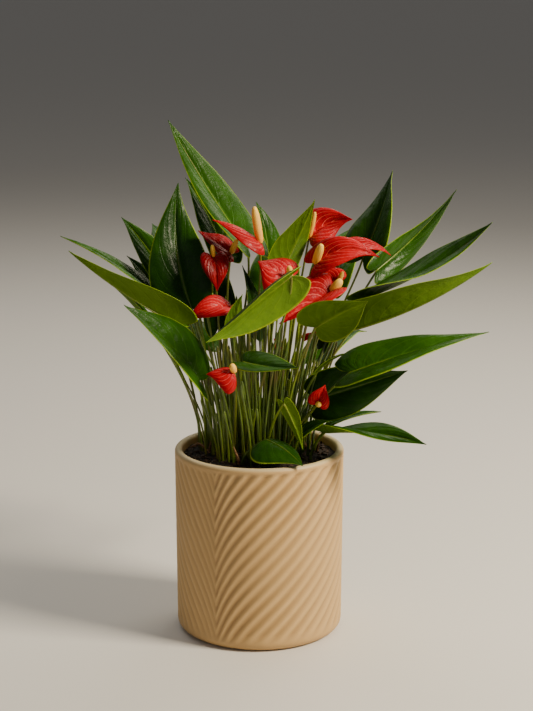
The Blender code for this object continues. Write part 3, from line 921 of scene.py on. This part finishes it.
def add_sheaths():
    """Dry papery sheaths that stay at the foot of older stems."""
    random = np.random.default_rng(21)
    places = [stem.foot for stem in LEAVES[::3]] + [stem.foot for stem in FLOWERS[::3]]
    parts = []
    for x, y in places:
        foot = np.array((x + random.uniform(1.6, 2.4) * random.choice((-1, 1)), y - 1.8, MIX_TOP - 1.0))
        lean = np.array((random.uniform(-0.45, 0.45), random.uniform(-0.5, 0.1), 1.0))
        length = random.uniform(9, 22)
        t = np.linspace(0, 1, 10)
        path = foot + np.outer(t * length, lean) + np.outer(t**2 * length * 0.25, (lean[0], lean[1], 0))
        parts.append(stem_part(path, 1.25 * np.sin(pi * (0.28 + 0.70 * t)) + 0.05, 0, 0.5, 7))
    points, faces, looks, maps, tones = joined(parts)
    piece = add_piece("dry_sheaths", points, faces, (husk_look,), looks, maps, {"tone_and_shade": tones})


def add_twig():
    """A curled dry strip that lies on the mix at the left, against the wall."""
    t = np.linspace(0, 1, 40)
    path = np.column_stack([-58 + 16 * t, 8 - 14 * t, MIX_TOP + 1.5 + 5.5 * np.sin(pi * t)])
    path += np.column_stack([1.6 * np.sin(9 * t), 1.6 * np.cos(9 * t), 0.6 * np.sin(14 * t)])
    points, faces, looks, maps, tones = stem_part(path, 1.0 * np.sin(pi * (0.12 + 0.8 * t)) + 0.15, 0, 0.5, 8)
    piece = add_piece("dry_twig", points, faces, (husk_look,), looks, maps, {"tone_and_shade": tones})


# ---------------------------------------------------------------- stage, lights and camera

# Places and sizes here are in metres, CAMERA_DOWN is in degrees and CAMERA_LENS in mm. The floor is wide, so
# that its edge doesn't show, and lies just under the pot.
FLOOR_SIZE, FLOOR_GAP = 200.0, 0.0002
AIM = (0.0, 0.0, 0.22)
CAMERA_PLACE, CAMERA_DOWN, CAMERA_LENS = (0.006, -1.42, 0.557), 12.9, 90.0
WORLD_STRENGTH = 0.125

# name, place, size, power in W, colour
LIGHTS = (
    ("key", (1.15, -0.50, 1.15), (0.45, 0.45), 48.0, (1.0, 0.87, 0.66)),
    ("fill", (-1.2, -1.0, 0.8), (1.2, 1.2), 1.2, (1.0, 0.97, 0.92)),
    ("rim", (0.6, 1.0, 1.2), (1.0, 0.7), 9.0, (1.0, 0.90, 0.72)),
    ("back fill", (-0.6, 1.0, 1.6), (1.4, 1.4), 9.0, (1.0, 0.95, 0.86)),
)


def add_floor():
    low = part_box("pot")[0][2] - FLOOR_GAP
    bpy.ops.mesh.primitive_plane_add(size=FLOOR_SIZE, location=(0, 0, low))
    floor = bpy.context.object
    floor.name = "floor"
    look = Look("pale floor", 0.7)
    look.colour(rgb(0.70, 0.68, 0.65))
    floor.data.materials.append(look.material)


def add_light(name, place, size, power, colour):
    data = bpy.data.lights.new(name, "AREA")
    data.shape = "RECTANGLE"
    data.size, data.size_y = size
    data.energy = power
    data.color = colour
    light = bpy.data.objects.new(name, data)
    light.location = place
    light.rotation_euler = (Vector(AIM) - Vector(place)).to_track_quat("-Z", "Y").to_euler()
    bpy.context.scene.collection.objects.link(light)


def add_world():
    world = bpy.data.worlds.new("studio")
    world.use_nodes = True
    background = world.node_tree.nodes["Background"]
    background.inputs["Color"].default_value = rgb(1.0, 0.98, 0.95)
    background.inputs["Strength"].default_value = WORLD_STRENGTH
    bpy.context.scene.world = world


def add_camera():
    data = bpy.data.cameras.new("camera")
    data.lens = CAMERA_LENS
    data.sensor_width = 36.0
    camera = bpy.data.objects.new("camera", data)
    camera.location = CAMERA_PLACE
    camera.rotation_euler = (radians(90 - CAMERA_DOWN), 0, 0)
    bpy.context.scene.collection.objects.link(camera)
    bpy.context.scene.camera = camera


add_pot()
add_mix()
add_chips("bark_chips", 420, 1.6, 5.5, bark_look, 31)
add_chips("pale_grit", 70, 0.9, 2.0, grit_look, 32)
add_sheaths()
add_twig()
for order, leaf in enumerate(LEAVES + INNER_LEAVES):
    add_leaf(leaf, order)
for order, flower in enumerate(FLOWERS + BUDS):
    add_spathe(flower, order)
    add_spike(flower)
add_young_stems()
add_floor()
for light in LIGHTS:
    add_light(*light)
add_world()
add_camera()
